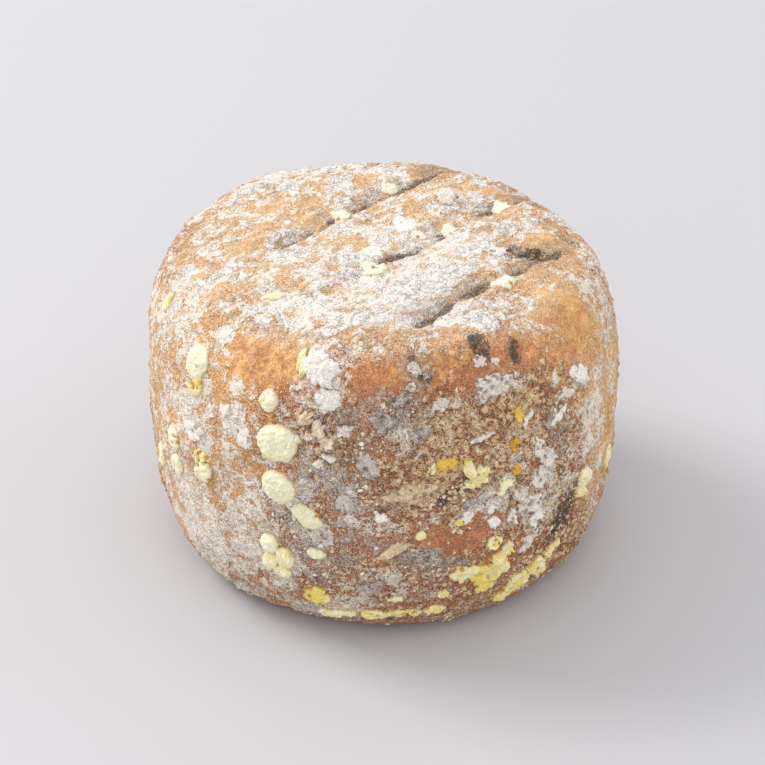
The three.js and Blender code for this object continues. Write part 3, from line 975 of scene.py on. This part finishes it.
def with_crust(f, g, p, colour, loose):
    """The colour under crinkled crust, tallow to cream at its peaks, the cream partly painted highlight,
    with mahogany in the gaps between its granules, partly the rind's red-brown and partly painted shade.
    Also gives the shares of crust and of gaps."""
    clumps = 0.4 * p.granules + 0.25 * p.worms + 0.17 * p.flecks + 0.15 * p.blotches + 0.03 * p.grain
    curds = f.cover(0.85 * g.curd * loose, f.smooth(0.1, 0.75, clumps), 0.14)
    # cream at the peaks of the clumps: partly the crust's colour, partly painted highlight
    crust = f.mix(f.smooth(0.35, 0.8, clumps + 0.2 * (p.grain - 0.5)), TALLOW, CREAM)
    # gaps between granules darkened to mahogany: partly the red-brown rind, partly painted shade
    gaps = g.curd * loose * (1 - curds) * f.smooth(0.5, 0.1, clumps)
    return f.mix(0.85 * gaps, f.mix(0.94 * curds, colour, crust), MAHOGANY), curds, gaps


def with_bloom(f, g, p, colour, frost):
    """The colour under white bloom, which lies in drifts, drawn out along the rack's bars on the top.
    Also gives the share of bloom."""
    drifts = 0.4 * p.blotches + 0.3 * p.flecks + 0.18 * p.bits + 0.12 * p.grain
    drawn = 0.32 * p.streaks + 0.36 * p.blotches + 0.2 * p.clouds + 0.12 * p.bits
    bloom = f.cover(frost, f.smooth(0.2, 0.8, drifts + g.top * (drawn - drifts)), 0.26)
    white = f.mix(0.35 * g.top + 0.5 * p.clouds, FROST, BLOOM)
    return f.mix((0.86 + 0.1 * g.top) * bloom, colour, white), bloom


def with_mould(f, g, p, colour):
    """The colour under grey hoar, painted shade with grit in the rack's marks, and soot. Also gives the
    shares of hoar and of the marks' painted shade and grit."""
    # the hoar also carries the rack marks' grey band, which is partly painted shade
    hoar = f.cover(0.85 * g.fuzz, f.smooth(0.2, 0.8, 0.4 * p.flecks + 0.25 * p.bits + 0.35 * p.grain), 0.3)
    colour = f.mix(0.75 * hoar, colour, f.mix(0.5 * p.bits + 0.5 * p.grain, SLATE, ASH))
    fine = 0.4 * p.flecks + 0.3 * p.bits + 0.3 * p.grain
    # painted shade with grit: the rack's marks darkened towards umber and slate
    mark_shade_and_grit = f.cover(0.9 * g.groove, fine, 0.25)
    colour = f.mix(0.8 * mark_shade_and_grit, colour, f.mix(p.grain, UMBER, SLATE))
    black = f.cover(0.8 * g.soot, f.smooth(0.2, 0.8, fine), 0.2)
    return f.mix(0.92 * black, colour, f.mix(f.smooth(0.4, 1.0, p.grain), SOOT_BLACK, SLATE)), hoar, mark_shade_and_grit


def with_cracks_and_crevice_shade(f, g, p, colour, veins, bloom):
    """The colour with painted shade in crevices, dark specks that stand in for shadow, and with veins:
    umber on the side, russet on the top. Also gives the share of the painted crevice shade."""
    deep = f.smooth(0.75, 0.25, 0.3 * p.flecks + 0.35 * p.bits + 0.35 * p.grain)
    amount = (0.02 + 0.13 * p.blotches) * (1 - 0.7 * g.glow) * (1 - 0.4 * bloom)
    # painted shade: small umber specks in the low places of the noise, standing in for shadow in crevices
    crevice_shade = f.cover(amount, deep, 0.07)
    colour = f.mix(0.65 * crevice_shade * (1 - 0.8 * g.bare), colour, UMBER)
    return f.mix(0.55 * veins * (1 - g.bare), colour, f.mix(g.top, RUSSET, UMBER)), crevice_shade


def rind_finish():
    """The rind, from the skin outwards: crust with painted highlight and shade, bloom, grey and dark mould
    with painted shade in the rack's marks, cracks with painted shade in crevices, and dust over all with
    painted shade in tiny pits.
    The height adds up the same layers, in millimetres."""
    f = Finish("rind")
    place = f.place()
    g = types.SimpleNamespace(**{name: f.field(name) for name in GROWN})
    p = rind_patterns(f, place)
    loose = 1 - g.bare * (0.55 + 0.4 * p.flecks)
    # less bloom in the rack's marks, part of their painted shade
    frost = g.powder * loose * (1 - 0.5 * g.groove)
    lines = f.smooth(0.035, 0.0, abs(f.noise(place, 3.2, 3, 0.6, 0.6) - 0.5))
    veins = lines * f.smooth(0.35, 0.8, p.clouds)

    colour, curds, gaps = with_crust(f, g, p, skin_colour(f, g, p), loose)
    colour, bloom = with_bloom(f, g, p, colour, frost)
    colour, hoar, mark_shade_and_grit = with_mould(f, g, p, colour)
    colour, crevice_shade = with_cracks_and_crevice_shade(f, g, p, colour, veins, bloom)
    dusty = (1 - 0.6 * g.bare) * (1 - 0.8 * g.soot)
    # the brown grains are partly brown dust and partly painted shade in tiny pits
    salt, pepper_and_pit_shade = (0.25 + 0.6 * frost) * dusty, (0.44 - 0.12 * g.glow - 0.12 * g.top) * dusty
    colour = f.dusted_with_pit_shade(colour, place, salt, pepper_and_pit_shade)

    height = 0.3 * p.blotches + 0.38 * p.flecks + loose * (0.28 * p.bits + 0.12 * p.grain)
    height = height + 0.5 * curds * p.granules + 0.25 * curds * p.worms + 0.12 * bloom + 0.12 * hoar
    height = height - 0.2 * gaps - 0.2 * mark_shade_and_grit - 0.12 * crevice_shade - 0.15 * veins
    return f.finish(colour, 0.92 - 0.2 * g.bare, height, **{
        "Subsurface Weight": 0.1, "Subsurface Radius": (1.0, 0.5, 0.25), "Subsurface Scale": 1.2 * MM,
        "Specular IOR Level": 0.3,
    })


DEEP_YELLOW, LEMON = paint(246, 220, 92), paint(252, 242, 178)
CHALK, OCHRE = paint(255, 251, 230), paint(206, 160, 48)


def yellow_finish():
    """Dry sulphur-yellow crust: chalky, deep or gold by its tone, darker in pits and at the edge, which is
    partly the mould's ochre and partly painted shade.
    """
    f = Finish("yellow_mould")
    place = f.place()
    patches = f.spread(f.noise(place, 3.0, 4, 0.6))
    grain = f.spread(f.noise(place, 0.45, 3, 0.65))
    pit_and_edge_shade, tone = f.field("pit_and_edge_shade"), f.field("tone")
    colour = f.mix(0.2 + 0.5 * patches + 0.3 * grain, LEMON, CHALK)
    colour = f.mix(f.smooth(0.1, 1.0, tone + 0.5 * (grain - patches)), colour, DEEP_YELLOW)
    colour = f.mix(f.smooth(1.0, 1.8, tone), colour, STAIN)
    colour = f.mix(0.8 * f.smooth(0.0, -0.9, tone + 0.4 * (patches - 0.5)), colour, BLOOM)
    # darker ochre in pits and round the edge: partly the mould's colour, partly painted shade
    colour = f.mix(f.smooth(0.3, 1.0, pit_and_edge_shade + 0.35 * (grain - 0.5)), colour, OCHRE)
    colour = f.dusted_with_pit_shade(colour, place, 0.2, 0.14)
    return f.finish(colour, 0.95, 0.16 * grain + 0.25 * patches, **{
        "Subsurface Weight": 0.15, "Subsurface Radius": (1.0, 0.8, 0.4), "Subsurface Scale": 0.8 * MM,
        "Specular IOR Level": 0.25,
    })


def flake_finish():
    """Dried mould: tan, cream, white or grey by the flake's tone, mottled, with dark pits and edges that
    are partly umber and partly painted shade.
    """
    f = Finish("dry_mould")
    place = f.place()
    patches = f.spread(f.noise(place, 2.2, 4, 0.65))
    grain = f.spread(f.noise(place, 0.5, 3, 0.65))
    pit_and_edge_shade, tone = f.field("pit_and_edge_shade"), f.field("tone")
    pale = f.mix(f.smooth(0.3, 0.7, patches), BLOOM, FROST)
    colour = f.mix(f.smooth(0.0, 0.5, tone + 0.3 * (grain - 0.5)), pale, ASH)
    colour = f.mix(f.smooth(0.4, 1.1, tone + 0.6 * (patches - 0.5)), colour, SLATE)
    colour = f.mix(f.smooth(0.65, 1.2, tone + 0.6 * (grain - 0.5)), colour, SOOT_BLACK)
    tan = f.mix(0.6 * grain, STRAW, CREAM)
    colour = f.mix(f.smooth(0.0, -0.4, tone + 0.3 * (patches - 0.5)), colour, tan)
    # umber in pits and round the edge: partly the mould's colour, partly painted shade
    colour = f.mix(0.6 * f.smooth(0.2, 0.9, pit_and_edge_shade + 0.3 * (grain - 0.5)), colour, UMBER)
    colour = f.dusted_with_pit_shade(colour, place, 0.3, 0.25)
    return f.finish(colour, 0.95, 0.12 * grain + 0.2 * patches, **{"Specular IOR Level": 0.25})


# ---------------------------------------------------------------- floor, light and camera, in metres

CAMERA_ELEVATION = math.radians(33)
CAMERA_DISTANCE = 0.6204
CAMERA_LENS, CAMERA_FILM = 112.5, 36  # focal length and the picture's width behind it, in millimetres
CAMERA_TARGET = Vector((-0.0003, 0, 0.0402))
FLOOR_WIDTH = 6.0
FLOOR_GREY = paint(190, 189, 191)
ROOM_LIGHT = (0.96, 0.96, 0.985, 1)
DAYLIGHT = (1.0, 0.98, 0.96)


def floor():
    """A plain pale floor."""
    bpy.ops.mesh.primitive_plane_add(size=FLOOR_WIDTH)
    plane = bpy.context.object
    plane.name = "floor"
    material = bpy.data.materials.new("floor")
    material.use_nodes = True
    shader = material.node_tree.nodes["Principled BSDF"]
    shader.inputs["Base Color"].default_value = FLOOR_GREY
    shader.inputs["Roughness"].default_value = 0.6
    plane.data.materials.append(material)


def lamp(name, place, target, size, power, colour=(1, 1, 1)):
    """A square soft light that faces its target."""
    light = bpy.data.lights.new(name, "AREA")
    light.size, light.energy, light.color = size, power, colour
    holder = bpy.data.objects.new(name, light)
    holder.location = place
    holder.rotation_euler = (Vector(target) - Vector(place)).to_track_quat("-Z", "Y").to_euler()
    bpy.context.scene.collection.objects.link(holder)


def camera():
    """The camera, looking down at the front of the wheel."""
    data = bpy.data.cameras.new("camera")
    data.lens, data.sensor_width = CAMERA_LENS, CAMERA_FILM
    holder = bpy.data.objects.new("camera", data)
    back = Vector((0, -math.cos(CAMERA_ELEVATION), math.sin(CAMERA_ELEVATION)))
    holder.location = CAMERA_TARGET + back * CAMERA_DISTANCE
    holder.rotation_euler = (-back).to_track_quat("-Z", "Y").to_euler()
    bpy.context.scene.collection.objects.link(holder)
    bpy.context.scene.camera = holder


def surroundings():
    """Pale light from all round."""
    world = bpy.data.worlds.new("studio")
    world.use_nodes = True
    background = world.node_tree.nodes["Background"]
    background.inputs["Color"].default_value = ROOM_LIGHT
    background.inputs["Strength"].default_value = 1.0
    bpy.context.scene.world = world
    bpy.context.scene.view_settings.view_transform = "Standard"


# ---------------------------------------------------------------- the wheel in its place

surroundings()
camera()
floor()
lamp("window", place=(-1.2, 0.54, 1.2), target=(0, 0, 0.04), size=0.72, power=19.5, colour=DAYLIGHT)
lamp("bounce", place=(0.0, -0.9, 0.45), target=(0, -0.02, 0.03), size=0.8, power=1.6)
lamp("side", place=(1.1, 0.1, 0.4), target=(0, 0, 0.04), size=0.6, power=1.5)

rind = cheese_rind()
rind.data.materials.append(rind_finish())
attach(rind, "root")
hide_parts("cheese_wheel")

mould = yellow_mould()
mould.data.materials.append(yellow_finish())
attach(mould, "root")

dry_mould = flake_finish()
for piece in (mould_flakes(), mould_crumbs()):
    piece.data.materials.append(dry_mould)
    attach(piece, "root")
